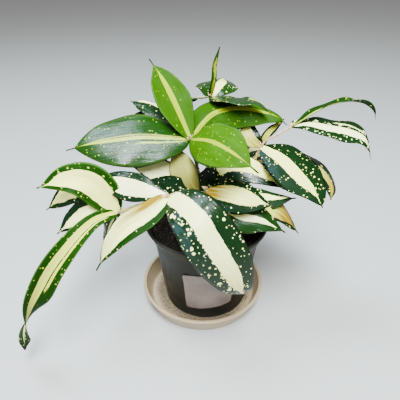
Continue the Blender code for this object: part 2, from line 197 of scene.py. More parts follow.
def geometryTree(name, sizes):
    # a tree with one geometry input and one named input for each size; the values only tell whole
    # numbers from others
    tree = bpy.data.node_groups.new(name, "GeometryNodeTree")
    tree.interface.new_socket("Geometry", in_out="INPUT", socket_type="NodeSocketGeometry")
    for label, value in sizes.items():
        kind = "NodeSocketInt" if isinstance(value, int) else "NodeSocketFloat"
        tree.interface.new_socket(label, in_out="INPUT", socket_type=kind)
    tree.interface.new_socket("Geometry", in_out="OUTPUT", socket_type="NodeSocketGeometry")
    maker = NodeMaker(tree)
    return tree, maker, maker.outs("NodeGroupInput")


def endTree(maker, geometry, material, other=None, where=None):
    # other, if given, is the material of the faces picked by where
    real = maker.geo("RealizeInstances", geometry)
    painted = maker.geo("SetMaterial", real, None, material)
    if other:
        painted = maker.geo("SetMaterial", painted, where, other)
    maker.node("NodeGroupOutput", painted)


def applied(thing):
    # the object again, with its modifiers worked into a plain mesh
    depsgraph = bpy.context.evaluated_depsgraph_get()
    mesh = bpy.data.meshes.new_from_object(thing.evaluated_get(depsgraph), depsgraph=depsgraph)
    mesh.name = thing.name
    thing.modifiers.clear()
    thing.data = mesh
    return thing


def grown(guide, tree, sizes):
    # runs a tree on a guide mesh, which turns into the plain mesh that comes out
    modifier = guide.modifiers.new("Grow", "NODES")
    modifier.node_group = tree
    for item in tree.interface.items_tree:
        if item.in_out == "INPUT" and item.name in sizes:
            modifier[item.identifier] = sizes[item.name]
    return applied(guide)


def meshObject(name, vertices, edges, faces):
    mesh = bpy.data.meshes.new(name)
    mesh.from_pydata([tuple(float(c) for c in v) for v in vertices], edges, faces)
    made = bpy.data.objects.new(name, mesh)
    bpy.context.scene.collection.objects.link(made)
    return made


def meshFrom(work, name):
    made = meshObject(name, [], [], [])
    work.to_mesh(made.data)
    work.free()
    return made


def smoothPiece(work, name, material, sharpAngle):
    # a closed piece, its faces outwards, smooth but for the edges sharper than the angle
    bmesh.ops.recalc_face_normals(work, faces=work.faces)
    made = meshFrom(work, name)
    made.data.materials.append(material)
    made.data.shade_smooth()
    made.data.set_sharp_from_angle(angle=math.radians(sharpAngle))
    return made


def roundPlace(radius, angle, z, centreX=0):
    # a place at an angle round an upright axis, in metres
    return ((centreX + radius * math.cos(angle)) * mm, radius * math.sin(angle) * mm, z * mm)


def pointValues(piece, name, values):
    # a number or a vector for each point, for the trees and materials to read
    values = np.array(values, np.float32)
    kind, key = ("FLOAT", "value") if values.ndim == 1 else ("FLOAT_VECTOR", "vector")
    piece.data.attributes.new(name, kind, "POINT").data.foreach_set(key, values.ravel())


def treeSizes(shape, lengths, plain):
    # the values of a shape that go into its tree: lengths, turned from millimetres, and plain numbers
    return {**{key: shape[key] * mm for key in lengths}, **{key: shape[key] for key in plain}}


def newMaterial(name):
    made = bpy.data.materials.new(name)
    made.use_nodes = True
    return NodeMaker(made.node_tree, made)


leafPaint = {
    "young": (0.028, 0.088, 0, 1),
    "grown": (0.005, 0.03, 0.0008, 1),
    "old": (0.0021, 0.0105, 0.003, 1),
    # light green of the painted glow of light through a young blade's rim
    "rim": (0.045, 0.13, 0.002, 1),
    "yellow": (0.28, 0.33, 0, 1),
    "cream": (0.83, 0.79, 0.15, 1),
    "white": (0.9, 0.88, 0.4, 1),
    "youngSpeck": (0.15, 0.23, 0.006, 1),
    "tan": (0.23, 0.135, 0.004, 1),
    "brown": (0.107, 0.0423, 0.013, 1),
    # colour of the painted bluish sheen that stands for sky light reflected off old blades
    "bloom": (0.016, 0.034, 0.035, 1),
    "specksPerMm": 0.42,
    "blotchesPerMm": 0.22,
    "veinsPerMm": 1.5,
    "wander": 22,         # millimetres that a fully ragged stripe's edge strays
    "noiseStep": 37.7,      # millimetres of noise from one blade to the next
    "gloss": 0.2,
    "shine": 0.17,          # how much a glossy blade reflects, and a dull one
    "dullShine": 0.025,
    "veinRelief": 0.0003,   # metres that the veins, pleats and swellings stand up
    "pleat": 0.0006,
    "swelling": 0.0018,
}


def leafMaterial(name, shine, dullness):
    p = leafPaint
    n = newMaterial(name)

    def three(name):
        return n.outs("ShaderNodeSeparateXYZ", n.painted(name, "Vector")).values()

    across, share, under = (n.painted(key) for key in ("across", "share", "underside"))
    spread, half = n.painted("spread") * perMetre, n.painted("half") * perMetre
    widest = n.painted("width") * (perMetre / 2)
    stripe, shift, ragged = three("marks")
    age, cream, specks = three("tones")
    tanBase, tanTip, tanSide = three("stains")
    split, splitAt, straight = three("lines")
    secondAt, secondHalf, secondFrom = three("secondBand")
    # then the second band's end with the painted sheen, and clumps with the painted shade
    secondTo, bloom, bloomAt = three("secondEndAndSheen")
    clumps, clumpSide, dim = three("clumpsAndShade")

    # the blade laid flat, in millimetres, with its own stretch of the noise
    flat = n.get("ShaderNodeCombineXYZ", spread, n.painted("along") * perMetre,
                 n.painted("seed") * p["noiseStep"])
    drawn = flat * (1, 0.3, 1)
    veinRun = flat * (1, 0.03, 1)
    bent = flat + (n.noise(flat, 0.5, 2, out="Color") - (0.5, 0.5, 0.5)) * 1.4
    veins = n.noise(veinRun, p["veinsPerMm"], 2, 0.6)
    cloud = n.noise(drawn, 0.09)

    # how far inside the central stripe a place lies, in millimetres
    carried = (widest - half) * straight * share.ramp(0.4, 0.8, 1, 0.1)
    reach = stripe * (half + carried) * share.ramp(0.72, 0.96, 1, 0.1)
    wander = (veins - 0.5) * 0.3 + (n.noise(drawn, 0.34, 4, 0.7) - 0.5)
    inside = reach + wander * ragged * p["wander"] - abs(spread - shift * half)
    band = inside.ramp(-0.1, 0.35) * stripe.ramp(0, 0.02) * share.ramp(0.97, 0.93)

    # a broken green line that splits some stripes
    dash = n.noise(flat * (0.7, 0.12, 1), 1, 2)
    line = (split - abs(across - splitAt)).ramp(-0.01, 0.02) * split.ramp(0, 0.01)
    line = line * dash.ramp(0.38, 0.48) * share.ramp(0.85, 0.6)
    band = band * (1 - line)

    # a thinner band beside the stripe, over part of the length
    aside = wander * 1.2 + (secondHalf - abs(across - secondAt)) * half
    started = share - (wander * 0.12 + secondFrom)
    ended = wander * 0.3 + secondTo - share
    aside = aside.ramp(-0.1, 0.3) * (started.ramp(0, 0.03) * ended.ramp(0, 0.04))
    band = band.math("MAXIMUM", aside * secondHalf.ramp(0, 0.02))

    def spots(perMm, chance, small, large, merge):
        merging = {"Smoothness": merge} if merge else {}
        cells = n.outs("ShaderNodeTexVoronoi", bent, {"Scale": perMm, **merging},
                       feature="SMOOTH_F1" if merge else "F1")
        over = n.get("ShaderNodeSeparateColor", cells["Color"]) - (1 - chance)
        radius = over.ramp(0, chance.math("MAXIMUM", 0.01), small, large, False)
        return (radius - cells["Distance"]).ramp(-0.04, 0.05) * (over > 0)

    def sided(side, low, high):
        # 1 all over where side is 0, or else only on the half of the blade that its sign picks
        picked = (across * side.math("SIGN")).ramp(low, high)
        return abs(side).ramp(0, 1, 1, picked, False)

    # round speckles, and blotches that run together near the stripe of old leaves
    dots = spots(p["specksPerMm"], specks * 0.5, 0.14, 0.38, 0)
    heavy = sided(clumpSide, -0.1, 0.2) * clumps * inside.ramp(-9, -1, 0.45, 1)
    dots = dots.math("MAXIMUM", spots(p["blotchesPerMm"], heavy * 0.68, 0.18, 0.5, 0.25))
    dots = dots * abs(across).ramp(1, 0.93)

    def threeTones(share, low, middle, high):
        node = n.node("ShaderNodeValToRGB", share)
        stops = node.color_ramp.elements
        stops[0].color = low
        stops[1].color = high
        stops.new(0.5).color = middle
        return Field(n, node.outputs[0])

    # greens, with a painted bluish sheen for sky light reflected off parts of the old leaves, and a painted
    # glow of light through the rim of the young ones
    tint = veins.ramp(0.25, 0.75, 0.8, 1.15, False) + cloud.between(-0.14, 0.16)
    leafGreen = n.shaded(threeTones(age, p["young"], p["grown"], p["old"]), tint)
    # painted light: the rim of a young blade lighter green, as if lit through
    rim = abs(across).ramp(0.86, 0.97, 0, 0.75) * age.ramp(1, 0.3)
    leafGreen = n.mix(rim, leafGreen, p["rim"])
    darkTip = share.ramp(0.9, 0.97) * age.ramp(0.7, 0.4) * 0.85
    leafGreen = n.mix(darkTip, leafGreen, p["old"])
    # painted sheen: bluish patches that stand for sky light mirrored on the blade
    paintedSheenMask = abs(across - bloomAt).ramp(1.1, 0.2) * bloom * share.ramp(0.6, 0.2)
    paintedSheenMask = paintedSheenMask * n.noise(drawn, 0.16).ramp(0.38, 0.6)
    leafGreen = n.mix(paintedSheenMask, leafGreen, p["bloom"])

    # pale stripe, with its tan stains and faint veins
    pale = threeTones(cream, p["yellow"], p["cream"], p["white"])
    paleBand = n.shaded(pale, veins.between(0.82, 1.05))
    stain = tanBase * share.ramp(0.62, 0.05) + tanTip * share.ramp(0.5, 0.95)
    stain = stain * n.noise(veinRun, 0.35).ramp(0.3, 0.62, 0.35, 1) * sided(tanSide, 0.1, 0.75)
    paleBand = n.mix(stain, paleBand, p["tan"])
    paleSpot = n.mix(age.ramp(0.35, 0.75), p["youngSpeck"], pale)

    colour = n.mix(dots, leafGreen, paleSpot)
    colour = n.mix(band, colour, paleBand)
    dryTip = share.ramp(0.965, 1) * age.ramp(0.3, 0.8)
    colour = n.mix(dryTip, colour, p["brown"])
    colour = n.mix(under, colour, n.shaded(colour, 1.12, 0.72))
    # painted shade: the whole blade darker, as if it lay in shade
    colour = n.shaded(colour, 1 - dim)

    rough = cloud.between(p["gloss"] - 0.04, p["gloss"] + 0.1) + (under * 0.18 + dullness)
    relief = n.bump(veins, p["veinRelief"], 0.45)
    pleats = n.noise(flat * (1, 0.14, 1), 0.19, 2, 0.45)
    relief = n.bump(pleats, p["pleat"], 1, relief)
    return n.surface(colour, rough, n.bump(cloud, p["swelling"], 0.5, relief), shine)


bladeShape = {
    "steps": 44,
    "columns": 17,
    "thickness": 0.55,
    "stalkThickness": 1.9,
    "stalkHalf": 1.9,       # half the width where a blade leaves its cane
    "tipHalf": 0.7,
    "waves": 2.5,           # waves along each edge
    "groove": 0.35,         # depth of the crease along the middle
}


# what a leaf has unless its line below says otherwise. stripe, shift and splitAt are shares of the half
# blade; straight 0 lets the stripe follow the outline, 1 keeps its width; split is the half width of a
# green line in the stripe; second is (place, half width, first share, last share); bloom is (amount,
# place) of a painted bluish sheen that stands for reflected sky light, clumps (amount, side), dim
# how much painted shade darkens a blade; matt 1 picks the dull surface; the rest run from 0 to 1
usualLeaf = dict(fold=-8, twist=0, curl=3, wave=1.2, peak=0.9, full=0.8, tail=0.05,
                 stripe=0, shift=0, straight=0.5, ragged=0.25, age=1, cream=0.8, specks=0.5,
                 tanBase=0, tanTip=0, tanSide=0, split=0, splitAt=0, second=(0, 0, 0, 0), bloom=(0, 0),
                 clumps=(0, 0), dim=0, matt=0)


def leaf(path, width, face, **own):
    # a blade along path from its joint; face is the way its upper side looks, endFace that of the tip
    return {**usualLeaf, "path": path, "width": width, "face": face, "endFace": face, **own}


# a joint is (where it is, the cane's radius there, the leaves that grow from it); creamTop is how
# creamy a cane is at the top
stems = {
    "stem_centre": dict(foot=(2, 6), joints=[((-2, 5, 140), 1.7, []), ((-12, 0, 192), 1.6, [
        leaf([(-29, 20, 224), (-42, 40, 242), (-52, 50, 254)], 35, (0.35, -0.8, 0.45), fold=10, peak=1.1,
             full=0.7, tail=0.1, stripe=0.16, shift=0.04, ragged=0.02, age=0.17, cream=0, specks=0.35,
             matt=1),
        leaf([(-36, -3, 195), (-58, -6, 197), (-83, -11, 196), (-102, -15, 194), (-124, -18, 189)], 57,
             (0, -0.62, 0.78), fold=-12, peak=1.02, full=0.6, tail=0.08, stripe=0.105, shift=0.02,
             straight=0.25, ragged=0.02, age=0.52, cream=0.06, specks=0.42, split=0.026, splitAt=0.07,
             second=(-0.21, 0.04, 0.03, 0.45)),
        leaf([(0, 14, 204), (13, 24, 211), (36, 30, 213), (57, 27, 210), (71, 21, 207), (81, 16, 200)],
             44, (0, -0.62, 0.78), endFace=(0, -0.25, 0.97), fold=-24, full=0.55, stripe=0.13, shift=0.03,
             straight=0.4, ragged=0.02, age=0.25, cream=0, specks=0.4, split=0.018, splitAt=0.07, matt=1),
        leaf([(3, -25, 202), (15, -42, 204), (29, -56, 200), (44, -64, 190)], 45, (0.1, -0.8, 0.6),
             peak=0.95, full=0.65, tail=0.1, stripe=0.09, straight=0.2, ragged=0.03, age=0, cream=0,
             matt=1),
    ])]),
    "stem_spear": dict(foot=(14, 30), joints=[((12, 50, 150), 1.7, []),
        ((10, 62, 197), 1.6, []), ((7, 47, 218), 1.5, [
        leaf([(10, 38, 236), (11, 37, 252), (15, 34, 268)], 6, (0, -0.8, 0.5), fold=30, wave=0,
             stripe=0.45, shift=0.3, age=0.42, cream=0, specks=0.1, tanBase=0.3, tanTip=0.4),
        leaf([(13, 62, 228), (22, 102, 223)], 48, (0, -0.05, 1), fold=-16, full=0.7, stripe=0.2,
             shift=0.22, ragged=0.1, age=0.62, cream=0.7, specks=0.45),
        leaf([(28, 27, 221), (50, 19, 221), (64, 12, 212)], 27, (0, 0.05, 1), fold=0, age=0.66, cream=0.2,
             specks=0.25, second=(-0.7, 0.14, 0.6, 0.97)),
        leaf([(-14, 60, 213), (-36, 84, 198)], 32, (0, 0.2, 1), stripe=0.2, age=0.8),
    ])]),
    "stem_back_left": dict(foot=(-22, 26), joints=[((-27, 36, 145), 1.7, []), ((-30, 45, 190), 1.5, [
        leaf([(-55, 60, 203), (-78, 72, 206)], 26, (0, -0.3, 0.95), age=0.8, cream=0.9, specks=0.2,
             second=(0.62, 0.26, 0.3, 0.85)),
        leaf([(-58, 52, 194), (-82, 64, 191)], 28, (0.1, -0.6, 0.75), age=0.95, cream=0.9, specks=0.25,
             bloom=(1, 0)),
        leaf([(-48, 78, 190), (-62, 108, 172)], 36, (-0.2, 0.5, 0.85), stripe=0.45, ragged=0.3, age=0.9,
             specks=0.8),
        leaf([(-18, 82, 192), (-6, 118, 176)], 36, (0.1, 0.5, 0.85), stripe=0.2, shift=0.1, age=0.7,
             cream=0.6, specks=0.6),
    ])]),
    "stem_right": dict(foot=(30, 10), creamTop=0.9, joints=[((44, 8, 140), 1.7, []), ((56, 5, 183), 1.5, [
        leaf([(73, -14, 181), (87, -32, 172), (98, -48, 163), (103, -58, 153)], 45, (0.15, -0.6, 0.8),
             peak=1, full=0.65, tail=0.03, stripe=0.27, shift=0.13, straight=0.35, ragged=0.12, age=0.92,
             cream=0.62, specks=0.75, tanTip=0.2, bloom=(0.9, 0.75), matt=1),
        leaf([(92, -4, 175), (109, -18, 168), (116, -32, 160), (115, -42, 151)], 34, (0.35, -0.25, 0.9),
             full=0.65, tail=0.03, age=0.97, cream=0.4, tanTip=1.3, second=(-0.1, 0.35, 0.6, 0.97)),
        leaf([(46, 18, 189), (42, 30, 206)], 18, (-0.2, -0.6, 0.6), stripe=0.74, shift=-0.3, straight=0,
             ragged=0.1, cream=0.5, tanBase=0.8, tanTip=0.8, dim=0.3),
        leaf([(63, 18, 190), (81, 33, 200)], 9, (0.1, -0.6, 0.8), stripe=0.6, ragged=0.1, cream=0.2,
             tanBase=1, tanTip=1),
    ]), ((69, 3, 195), 0.9, []), ((82, 2, 204), 1, [
        leaf([(90, 3, 209), (101, 4, 217), (116, 4, 224), (131, 2, 228), (145, 0, 226), (153, -2, 220),
             (155, -4, 213)], 19, (0, 0.1, 1), fold=14, twist=35, peak=1.1, full=0.7, age=0.62,
             cream=0.15, specks=0.6, second=(0.3, 0.42, 0, 0.56), matt=1),
        leaf([(96, -4, 210), (113, -10, 209), (130, -18, 208), (142, -24, 202), (150, -26, 183)], 38,
             (0.1, -0.2, 1), fold=-6, peak=1.15, full=0.75, tail=0.1, stripe=0.29, shift=0.2, straight=0,
             ragged=0.13, age=0.86, cream=0.97, specks=0.9, second=(-0.42, 0.06, 0.4, 0.75),
             clumps=(0.3, 0), matt=1),
        leaf([(92, 22, 201), (95, 44, 196)], 11, (0, -0.2, 1), stripe=0.7, age=0.9, cream=0.9),
    ])]),
    "stem_front_left": dict(foot=(-18, -22), creamTop=1.4, joints=[((-24, -36, 132), 1.9, []),
        ((-30, -50, 160), 1.9, [
        leaf([(-17, -68, 163), (-3, -84, 157), (9, -92, 138), (22, -94, 114), (31, -90, 91),
             (37, -82, 75), (39, -69, 70)], 50, (0.2, -0.8, 0.58), endFace=(0.2, -0.6, -0.75), fold=-10,
             peak=0.88, full=0.5, stripe=0.33, straight=0.75, ragged=0.2, age=0.92, cream=0.92,
             specks=0.65, tanTip=0.25, bloom=(0.8, 0.6), clumps=(1, 0.8)),
        leaf([(-45, -65, 153), (-63, -75, 145), (-78, -80, 130), (-95, -80, 101)], 24, (-0.1, -0.8, 0.6),
             fold=14, peak=0.76, tail=0.12, stripe=0.72, shift=0.24, straight=0, ragged=0.1, age=0.66,
             specks=0.4, tanBase=2.1, tanTip=0.3, tanSide=1, matt=1),
        leaf([(-51, -47, 165), (-74, -38, 166), (-97, -28, 168)], 28, (0, -0.7, 0.7), fold=-6, peak=1.25,
             full=0.7, stripe=0.58, shift=-0.08, straight=0, ragged=0.14, age=0.95, cream=1, specks=0.8),
    ]), ((-53, -50, 152), 1.5, []), ((-77, -45, 140), 1.6, [
        leaf([(-95, -44, 167), (-116, -46, 175), (-144, -50, 168)], 34, (0, -0.75, 0.65), fold=14,
             peak=0.82, stripe=0.6, shift=-0.04, straight=0, ragged=0.1, age=0.5, cream=0.62, specks=0.8,
             matt=1),
        leaf([(-94, -58, 141), (-106, -70, 135), (-119, -81, 123), (-131, -89, 109), (-142, -95, 92),
             (-151, -99, 77), (-158, -102, 61), (-164, -104, 44), (-167, -104, 24)], 24,
             (0.2, -0.65, 0.7), fold=16, twist=215, curl=3.2, peak=1.4, full=0.38, tail=0.02, stripe=0.31,
             shift=0.12, straight=0.2, ragged=0.04, age=0.52, cream=0.28, specks=0.75, split=0.045,
             splitAt=-0.24, second=(-0.38, 0.1, 0.05, 0.6), matt=1),
        leaf([(-97, -34, 153), (-119, -36, 157), (-145, -40, 139)], 26, (0, -0.6, 0.8), peak=1.1,
             full=0.65, stripe=0.66, shift=0.1, straight=0, ragged=0.15, age=0.9, cream=0.7, tanTip=0.5),
        leaf([(-91, -44, 147), (-109, -52, 144), (-132, -58, 125)], 25, (0, -0.7, 0.7), stripe=0.5,
             shift=-0.2, straight=0, ragged=0.2, cream=0.85, specks=0.4),
        leaf([(-88, -44, 122), (-94, -46, 96)], 22, (-0.6, -0.7, 0.3), stripe=0.1, specks=0.7),
    ])]),
    "stem_middle": dict(foot=(-6, -12), joints=[((-5, -18, 138), 1.7, [
        leaf([(-18, -14, 163), (-27, 4, 184)], 26, (0, -0.9, 0.4), peak=1.2, full=0.7, stripe=1.3,
             ragged=0, age=0.7, cream=0.55, tanBase=0.9, tanTip=0.1, dim=0.68, matt=1),
        leaf([(-29, -25, 152), (-53, -29, 165)], 28, (0, -0.8, 0.6), specks=0.8),
        leaf([(5, -14, 155), (10, -8, 172)], 26, (0, -0.9, 0.4)),
        leaf([(-46, -8, 166), (-80, -4, 178)], 30, (0, -0.6, 0.8), stripe=0.86, age=0.95, cream=1,
             tanTip=0.5),
        leaf([(18, -8, 163), (44, -14, 167), (76, -26, 153)], 32, (0, -0.6, 0.8), stripe=0.6, shift=-0.35,
             straight=0, ragged=0.2, cream=0.65, specks=0.7, tanTip=0.4),
    ])]),
    "stem_front_right": dict(foot=(14, -20), joints=[((2, -34, 156), 1.8, [
        leaf([(19, -46, 161), (35, -56, 162), (60, -62, 157)], 34, (0, -0.6, 0.8), fold=-10, stripe=0.52,
             shift=-0.04, straight=0.05, ragged=0.12, age=0.95, cream=0.7, specks=0.7, tanBase=1.3,
             tanTip=0.2, bloom=(0.9, 0.8), matt=1),
        leaf([(30, -56, 146), (51, -62, 143), (72, -65, 132)], 32, (0, -0.7, 0.7), fold=-10, stripe=0.22,
             shift=0.05, straight=0.4, ragged=0.08, age=0.72, cream=0.95, specks=0.4, bloom=(0.8, -0.7)),
        leaf([(44, -40, 146), (69, -44, 142), (89, -48, 118)], 30, (0.35, -0.35, 0.9), peak=1.1,
             full=0.65, stripe=0.78, straight=0, ragged=0.08, cream=0.3, tanBase=2.5, tanTip=2.5, dim=0.1),
        leaf([(46, -37, 148), (84, -40, 152)], 30, (0, -0.5, 0.85), stripe=0.32, shift=-0.3, age=0.85,
             cream=0.75, matt=1),
    ])]),
    "stem_back": dict(foot=(-8, 38), joints=[((-6, 52, 140), 1.7, []), ((-4, 60, 164), 1.5, [
        leaf([(-28, 86, 164), (-50, 110, 144)], 36, (-0.3, 0.5, 0.85), stripe=0.22, shift=-0.1, age=0.8,
             cream=0.7, specks=0.8),
        leaf([(8, 96, 168), (14, 126, 148)], 38, (0.1, 0.4, 0.9), stripe=0.4, ragged=0.35, age=0.9,
             specks=1),
        leaf([(20, 86, 174), (52, 104, 158)], 32, (0.3, 0.3, 0.9), stripe=0.14, age=0.5, cream=0.3,
             second=(0.3, 0.07, 0.1, 0.6)),
    ])]),
    "stem_back_right": dict(foot=(32, 26), joints=[((46, 36, 150), 1.6, [
        leaf([(72, 50, 156), (102, 60, 138)], 36, (0.4, 0.2, 0.9), stripe=0.16, age=0.6, cream=0.4,
             specks=0.6),
        leaf([(62, 70, 154), (76, 104, 134)], 36, (0.3, 0.5, 0.85), stripe=0.5, shift=0.2, ragged=0.3,
             age=0.95, specks=0.9),
        leaf([(60, 20, 160), (86, 6, 150)], 32, (0.4, -0.2, 0.9), stripe=0.3, age=0.9, matt=1),
    ])]),
}


def curveThrough(points, count):
    # points evenly spaced along a smooth curve that runs through the given ones
    points = np.array(points, float)
    ends = np.vstack([2 * points[0] - points[1], points, 2 * points[-1] - points[-2]])
    fine = []
    for k in range(len(points) - 1):
        a, b, c, d = ends[k:k + 4]
        for t in np.linspace(0, 1, 24, endpoint=False):
            fine.append(0.5 * (2 * b + (c - a) * t + (2 * a - 5 * b + 4 * c - d) * t ** 2
                               + (3 * b - a - 3 * c + d) * t ** 3))
    fine = np.array(fine + [points[-1]])
    along = np.concatenate([[0], np.cumsum(np.linalg.norm(np.diff(fine, axis=0), axis=1))])
    even = np.linspace(0, along[-1], count)
    return np.stack([np.interp(even, along, fine[:, axis]) for axis in range(3)], axis=1)


def bladeTree(sizes, glossy, dull):
    # a blade swept along each rib of the guide: outline, fold, waves, crease, and two skins that
    # meet in a sharp edge
    tree, n, given = geometryTree("leafBlades", sizes)
    ribs = n.geo("MeshToCurve", given["Geometry"])
    ribs = n.geo("ResampleCurve", ribs, True, given["steps"])
    spline = n.outs("GeometryNodeSplineParameter")
    tangent = n.geo("InputTangent")
    face = n.stored("face", "FLOAT_VECTOR")
    up = (face - tangent * face.math("DOT_PRODUCT", tangent)).math("NORMALIZE")
    side = tangent.math("CROSS_PRODUCT", up)
    turn = n.stored("twist") * spline["Factor"] ** n.stored("curl")
    sine, cosine = turn.math("SINE"), turn.math("COSINE")
    for name, value in (("share", spline["Factor"]), ("along", spline["Length"]),
                        ("ribAt", n.geo("InputPosition")),
                        ("bladeSide", side * cosine + up * sine),
                        ("bladeUp", up * cosine - side * sine)):
        ribs = n.store(ribs, name, value)
    line = n.geo("CurvePrimitiveLine", (-1, 0, 0), (1, 0, 0))
    line = n.geo("ResampleCurve", line, True, given["columns"])
    line = n.store(line, "across", spline["Factor"] * 2 - 1)
    sheet = n.geo("CurveToMesh", ribs, line)

    share, across, fold = n.stored("share"), n.stored("across"), n.stored("fold")
    distance = abs(across)
    reach = (share / (1 - n.stored("tail"))).math("MINIMUM", 1)
    body = (reach ** n.stored("peak") * math.pi).math("SINE").math("MAXIMUM", 0) ** n.stored("full")
    body = body * (reach ** 7 * -0.3 + 1)
    ends = (given["tipHalf"] - given["stalkHalf"]) * share + given["stalkHalf"]
    half = (n.stored("width") * 0.5 - ends) * body + ends
    phase = share * given["waves"] * fullTurn
    swing = (share * math.pi).math("SINE") * n.stored("wave") * (across * across)
    lift = swing * (across * 1.6 + phase).math("SINE") + half * distance ** 1.4 * fold.math("SINE")
    crease = 2 ** (distance * distance * -60)
    lift = lift - crease * (given["groove"] * body)

    bladeUp = n.stored("bladeUp", "FLOAT_VECTOR")
    sideways = half * across * fold.math("COSINE")
    middle = n.stored("ribAt", "FLOAT_VECTOR") + n.stored("bladeSide", "FLOAT_VECTOR") * sideways
    middle = middle + bladeUp * lift
    sheet = n.store(sheet, "spread", half * across)
    sheet = n.store(sheet, "half", half)

    # the skins part in the middle and meet at the rim and at both ends
    swell = (1 - distance ** 5) * (share * (1 - share) * 30).math("MINIMUM", 1)
    stalk = 2 ** (share * -30)
    thick = (given["stalkThickness"] - given["thickness"]) * stalk + given["thickness"]
    swell = swell * (thick * 0.5)
    skins = []
    for direction in (1, -1):
        skin = n.store(sheet, "underside", 0.5 - 0.5 * direction)
        place = middle + bladeUp * (swell * direction)
        skins.append(n.geo("SetPosition", skin, True, place))
    skins[1] = n.geo("FlipFaces", skins[1])
    closed = n.geo("MergeByDistance", n.join(skins), True, 0.004 * mm)
    closed = n.geo("SetShadeSmooth", closed)
    for name in ("ribAt", "bladeSide", "bladeUp", "face", "fold", "twist", "wave", "peak", "full",
                 "curl", "tail"):
        closed = n.geo("RemoveAttribute", closed, name)
    endTree(n, closed, glossy, dull, n.stored("matt") > 0.5)
    return tree


def bladeGuide(name, stem, firstSeed):
    # the ribs of a stem's leaves, as loose edges whose points carry the leaf's sizes and paint
    vertices, edges, faces, rows = [], [], [], []
    steps = bladeShape["steps"]
    seed = firstSeed
    for start, radius, leaves in stem["joints"]:
        for blade in leaves:
            first = len(vertices)
            vertices += [point * mm for point in curveThrough([start] + blade["path"], steps)]
            edges += [(first + k, first + k + 1) for k in range(steps - 1)]
            atJoint, atTip = np.array(blade["face"], float), np.array(blade["endFace"], float)
            faces += [atJoint + (atTip - atJoint) * (k / (steps - 1)) ** 2 for k in range(steps)]
            rows += [{**blade, "seed": seed}] * steps
            seed += 1
    guide = meshObject(name, vertices, edges, [])
    for key in ("width", "fold", "twist", "wave", "peak", "full", "curl", "tail", "seed", "matt"):
        unit = mm if key in ("width", "wave") else math.pi / 180 if key in ("fold", "twist") else 1
        pointValues(guide, key, [row[key] * unit for row in rows])
    pointValues(guide, "face", faces)
    # the paint, three values to an attribute
    for key, names in (("marks", ("stripe", "shift", "ragged")), ("tones", ("age", "cream", "specks")),
                       ("stains", ("tanBase", "tanTip", "tanSide")),
                       ("lines", ("split", "splitAt", "straight"))):
        pointValues(guide, key, [[row[name] for name in names] for row in rows])
    pointValues(guide, "secondBand", [row["second"][:3] for row in rows])
    # the second band's end and the painted sheen, then clumps and the painted shade
    pointValues(guide, "secondEndAndSheen", [(row["second"][3], *row["bloom"]) for row in rows])
    pointValues(guide, "clumpsAndShade", [(*row["clumps"], row["dim"]) for row in rows])
    return guide, seed


def buildBlades():
    sizes = treeSizes(bladeShape, ("thickness", "stalkThickness", "stalkHalf", "tipHalf", "groove"),
                      ("steps", "columns", "waves"))
    tree = bladeTree(sizes, leafMaterial("variegatedLeaf", leafPaint["shine"], 0),
                     leafMaterial("dullLeaf", leafPaint["dullShine"], 0.2))
    seed = 1
    for node, stem in stems.items():
        guide, seed = bladeGuide(node.replace("stem", "leaves"), stem, seed)
        blades = grown(guide, tree, sizes)
        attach(blades, "root")
        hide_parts(node)
    print("leaf blades:", seed - 1)


buildBlades()


caneShape = {
    "footZ": 80,
    "soilZ": 91,
    "stepsPerJoint": 14,
    "sides": 14,
    "nodeSpacing": 12,    # between the ringed nodes of a cane
    "nodeSwell": 0.16,      # of the cane's radius
    "sheathLength": 1.5,    # of the papery sheath below each node, in radii
    "sheathWide": 1.24,     # at its top and its foot, in radii
    "sheathNarrow": 1.02,
    "bractLength": 3.2,     # of the small pointed scales round a whorl of leaves
    "bractRadius": 1,
    "bracts": 3,
}

canePaint = {
    "green": (0.045, 0.078, 0.009, 1),
    "cream": (0.62, 0.42, 0.2, 1),
    "bark": (0.1, 0.06, 0.025, 1),
    "sheath": (0.5, 0.33, 0.14, 1),
}


def caneMaterial():
    p = canePaint
    n = newMaterial("ringedCane")
    place = n.place()
    streaks = n.noise(place * (1500, 1500, 120), 1)
    mottle = n.noise(place, 260, 4, 0.6)
    colour = n.mix(n.painted("tone"), p["green"], p["cream"])
    colour = n.mix(mottle.ramp(0.5, 0.72, 0, 0.3), colour, p["bark"])
    colour = n.mix(n.painted("ring") * 0.6, colour, p["bark"])
    colour = n.mix(n.painted("sheath"), colour, p["sheath"])
    colour = n.shaded(colour, streaks.between(0.78, 1.15))
    return n.surface(colour, mottle.between(0.4, 0.62), n.bump(streaks, 0.0002, 0.6))


